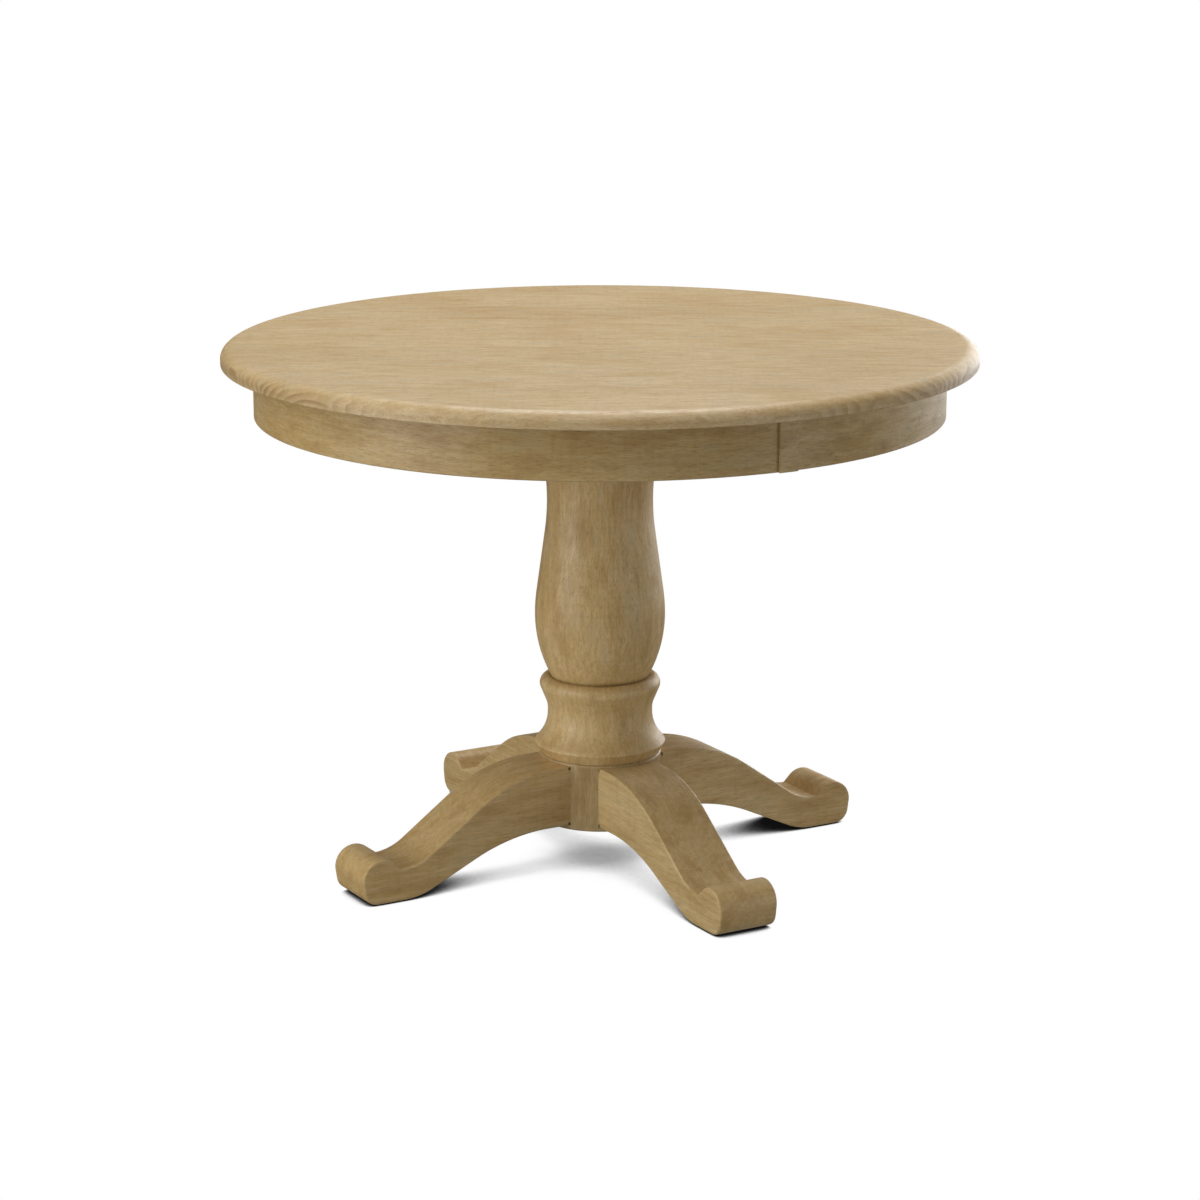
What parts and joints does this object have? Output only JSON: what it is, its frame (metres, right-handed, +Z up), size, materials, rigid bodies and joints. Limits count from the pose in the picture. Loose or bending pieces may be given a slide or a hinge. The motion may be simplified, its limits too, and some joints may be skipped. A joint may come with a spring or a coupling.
{
  "type": "round pedestal table",
  "caption": "Round wooden pedestal dining table: round-edged top on a round apron, turned vase column on a round hub with scroll-footed arched legs.",
  "frame": {"origin": "on the floor, under the centre of the round top", "axes": "+Z up; the legs point along -Y (front), +X (right), +Y (rear) and -X (left)"},
  "size_m": [1.0669, 1.067, 0.76],
  "materials": {
    "top_wood": "pale whitewashed honey stain, satin lacquer, fine straight grain",
    "apron_wood": "honey-grey glazed stain, satin lacquer",
    "column_wood": "honey-grey glazed stain, satin lacquer, grain upright",
    "hub_wood": "honey-grey glazed stain, satin lacquer",
    "leg_wood": "honey-grey glazed stain, satin lacquer, grain along the leg",
    "inner_wood": "raw sanded hardwood, matte",
    "zinc_steel": "zinc-plated steel, slightly dull",
    "brass_insert": "plain turned brass",
    "nylon_glide": "dark nylon, matte"
  },
  "bodies": {
    "root": {"tabletop": "top_wood", "apron_half_left": "apron_wood", "apron_half_right": "apron_wood", "apron_strip_front": "apron_wood", "apron_strip_rear": "apron_wood", "splice_block_front": "inner_wood", "splice_block_rear": "inner_wood", "glue_block_1": "inner_wood", "glue_block_2": "inner_wood", "glue_block_3": "inner_wood", "glue_block_4": "inner_wood", "glue_block_5": "inner_wood", "glue_block_6": "inner_wood", "glue_block_7": "inner_wood", "glue_block_8": "inner_wood", "rail_upper": "inner_wood", "rail_lower": "inner_wood", "mounting_plate": "inner_wood", "column": "column_wood", "hub": "hub_wood", "leg_front": "leg_wood", "leg_right": "leg_wood", "leg_rear": "leg_wood", "leg_left": "leg_wood", "glide_front": "nylon_glide", "glide_right": "nylon_glide", "glide_rear": "nylon_glide", "glide_left": "nylon_glide", "glide_nails": "zinc_steel", "tie_rod": "zinc_steel", "tie_rod_nuts": "zinc_steel", "tie_rod_washers": "zinc_steel", "hub_base_plate": "zinc_steel", "base_plate_screws": "zinc_steel", "leg_hanger_bolts": "zinc_steel", "leg_bolt_washers": "zinc_steel", "leg_bolt_nuts": "zinc_steel", "leg_dowels": "inner_wood", "column_dowels": "inner_wood", "column_screws": "zinc_steel", "plate_bolts": "zinc_steel", "plate_bolt_washers": "zinc_steel", "rail_inserts": "brass_insert", "rail_screws": "zinc_steel", "block_top_screws": "zinc_steel", "block_apron_screws": "zinc_steel", "splice_screws": "zinc_steel"}
  },
  "joints": []
}
